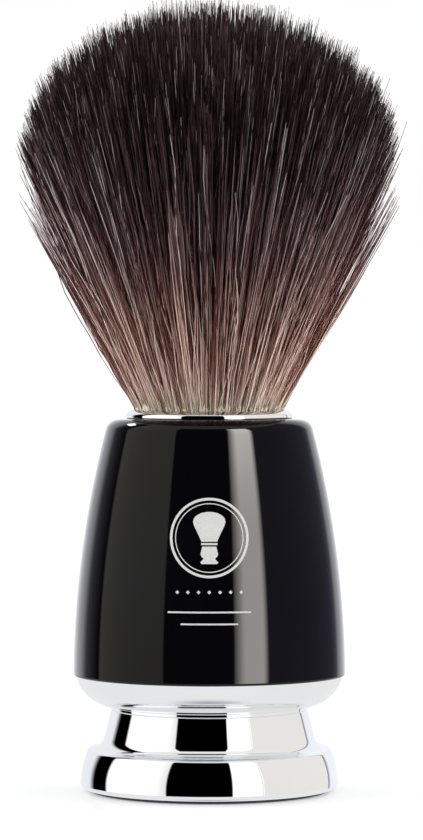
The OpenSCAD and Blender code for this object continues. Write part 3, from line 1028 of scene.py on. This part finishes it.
def reflected_light(tree, x, y, z):
    """The colour that reflections see in the direction (x, y, z)."""
    degree = 180 / math.pi
    azimuth = maths(tree, "MULTIPLY", maths(tree, "ARCTAN2", x, maths(tree, "MULTIPLY", y, -1)), degree)
    elevation = maths(tree, "MULTIPLY", maths(tree, "ARCSINE", z), degree)
    light = mix_colours(tree, step(tree, elevation, *GROUND_FROM), UNDERNEATH, GROUND)
    light = mix_colours(tree, step(tree, elevation, *SKY_FROM), light, SKY)
    for sides, heights, softness, colour in PANELS:
        mask = panel_mask(tree, azimuth, elevation, sides, heights, softness)
        light = mix_colours(tree, mask, light, colour)
    return light


def soft_light(tree, x, y):
    """The strength of the light on matt surfaces from the direction (x, y)."""
    behind = maths(tree, "ADD", maths(tree, "MULTIPLY", y, SOFT_FROM_BEHIND), SOFT_LIGHT)
    beside = maths(tree, "MULTIPLY", maths(tree, "MULTIPLY", x, x), SOFT_FROM_SIDES)
    return maths(tree, "ADD", behind, beside)


def background(tree, colour=(1, 1, 1, 1), strength=1.0):
    """A background shader; colour and strength are values or sockets."""
    node = tree.nodes.new("ShaderNodeBackground")
    feed(tree, node.inputs["Color"], colour)
    feed(tree, node.inputs["Strength"], strength)
    return node.outputs["Background"]


def studio_world():
    """A white studio. The camera sees plain white; reflections see panels; the rest is soft light."""
    world = bpy.data.worlds.new("studio")
    bpy.context.scene.world = world
    world.use_nodes = True
    tree = world.node_tree
    place = tree.nodes.new("ShaderNodeTexCoord")
    split = tree.nodes.new("ShaderNodeSeparateXYZ")
    tree.links.new(place.outputs["Generated"], split.inputs["Vector"])
    x, y, z = split.outputs
    path = tree.nodes.new("ShaderNodeLightPath")
    shown = background(tree, strength=soft_light(tree, x, y))
    reflected = background(tree, colour=reflected_light(tree, x, y, z))
    for flag, choice in (("Is Glossy Ray", reflected), ("Is Camera Ray", background(tree))):
        mix = tree.nodes.new("ShaderNodeMixShader")
        tree.links.new(path.outputs[flag], mix.inputs["Fac"])
        tree.links.new(shown, mix.inputs[1])
        tree.links.new(choice, mix.inputs[2])
        shown = mix.outputs["Shader"]
    tree.links.new(shown, tree.nodes["World Output"].inputs["Surface"])


# ---------------------------------------------------------------- floor and light cards, in metres
FLOOR_HALF = 6.0


def pale_floor():
    """A white floor that takes a soft shadow, and mirrors a little at a low angle."""
    material, _, shader = node_material("floor_white")
    shader.inputs["Base Color"].default_value = (0.5, 0.5, 0.5, 1)
    shader.inputs["Roughness"].default_value = 0.12
    shader.inputs["IOR"].default_value = 1.02
    shader.inputs["Emission Color"].default_value = (1, 1, 1, 1)
    shader.inputs["Emission Strength"].default_value = 0.28
    corners = [(x * FLOOR_HALF, y * FLOOR_HALF, 0) for x, y in ((-1, -1), (1, -1), (1, 1), (-1, 1))]
    mesh = bpy.data.meshes.new("floor")
    mesh.from_pydata(corners, [], [(0, 1, 2, 3)])
    floor = new_object("floor", mesh, material)
    floor.visible_glossy = False


# Glow functions give a card's brightness at shares of its width and height
def even(across, up):
    """The same all over."""
    return 1.0


def fading_right(across, up):
    """Full at the left, and under half at the right edge."""
    return min(1, 3 * (1.15 - across))


def fading_down(across, up):
    """Bright at the top and dark at the foot."""
    return up


def upper_band(across, up):
    """Soft on both sides, and brighter above the middle."""
    return min(1, 3.3 * across, 6 * (1 - across)) * (0.53 + 0.47 * min(1, max(0, 4 * up - 2)))


def rim_glow(across, up):
    """Soft on both sides, and brighter near the foot."""
    return min(1, 3 * across, 2.2 * (1 - across)) * (1.25 - 1.15 * up)


def card_material(name, colour):
    """Light in this colour times the mesh's glow, added to whatever lies behind."""
    material = bpy.data.materials.new(name)
    material.use_nodes = True
    tree = material.node_tree
    tree.nodes.remove(tree.nodes["Principled BSDF"])
    level = add(tree, "ShaderNodeAttribute", attribute_name="glow")
    light = tree.nodes.new("ShaderNodeEmission")
    light.inputs["Color"].default_value = (*colour, 1)
    tree.links.new(level.outputs["Fac"], light.inputs["Strength"])
    clear = tree.nodes.new("ShaderNodeBsdfTransparent")
    both = tree.nodes.new("ShaderNodeAddShader")
    tree.links.new(light.outputs["Emission"], both.inputs[0])
    tree.links.new(clear.outputs["BSDF"], both.inputs[1])
    tree.links.new(both.outputs["Shader"], tree.nodes["Material Output"].inputs["Surface"])
    return material


def card(name, reach, azimuths, elevations, colour, receivers, glow=even):
    """A curved card, reach metres from the axis, that only the receivers reflect."""
    columns, rows = 40, 12
    vertices, levels, faces = [], [], []
    for across in np.linspace(0, 1, columns):
        azimuth = azimuths[0] + (azimuths[1] - azimuths[0]) * across
        for up in np.linspace(0, 1, rows):
            rise = tan_deg(elevations[0] + (elevations[1] - elevations[0]) * up)
            vertices.append((reach * sin_deg(azimuth), -reach * cos_deg(azimuth), reach * rise))
            levels.append(glow(across, up))
    for i in range(columns - 1):
        for j in range(rows - 1):
            k = i * rows + j
            faces.append((k, k + 1, k + rows + 1, k + rows))
    mesh = bpy.data.meshes.new(name)
    mesh.from_pydata(vertices, [], faces)
    mesh.attributes.new("glow", "FLOAT", "POINT").data.foreach_set("value", levels)
    panel = new_object(name, mesh, card_material(name, colour))
    panel.visible_camera = False
    panel.visible_diffuse = False
    panel.light_linking.receiver_collection = bpy.data.collections.new(name)
    for piece in receivers:
        panel.light_linking.receiver_collection.objects.link(piece)


studio_world()
pale_floor()
plated = (foot, dish, collar)
resin_only = (handle,)
# Each card hangs at its own distance, so that no card hides another
card("plating_right", 2.0, (49, 133), (-10, 50), (0.66, 0.65, 0.52), plated)
card("plating_left", 2.1, (-104, -39), (-10, 48), (0.5, 0.53, 0.56), plated, fading_right)
card("handle_left", 2.2, (-104, -39), (-10, 48), (0.4, 0.39, 0.38), resin_only, fading_down)
card("handle_right", 2.3, (21, 51), (-10, 45), (20.3, 19.5, 18.2), resin_only, upper_band)
card("handle_rim", 2.4, (126, 252), (-10, 60), (1, 1, 1.07), resin_only, rim_glow)
card("shoulder_spot", 2.5, (-137, -121), (36, 43), (30, 30, 30), resin_only)


# ---------------------------------------------------------------- camera
CAMERA_LENS = 172.3
CAMERA_SENSOR = 36
CAMERA_PLACE = Vector((0.3, -560, 66)) * MM
CAMERA_TARGET = Vector((0.3, 0, 51.7)) * MM

camera_data = bpy.data.cameras.new("camera")
camera_data.lens = CAMERA_LENS
camera_data.sensor_width = CAMERA_SENSOR
camera_data.clip_start = 0.01
camera = bpy.data.objects.new("camera", camera_data)
bpy.context.scene.collection.objects.link(camera)
camera.location = CAMERA_PLACE
camera.rotation_mode = "QUATERNION"
camera.rotation_quaternion = (CAMERA_TARGET - CAMERA_PLACE).to_track_quat("-Z", "Y")
bpy.context.scene.camera = camera
bpy.context.scene.view_settings.view_transform = "Standard"
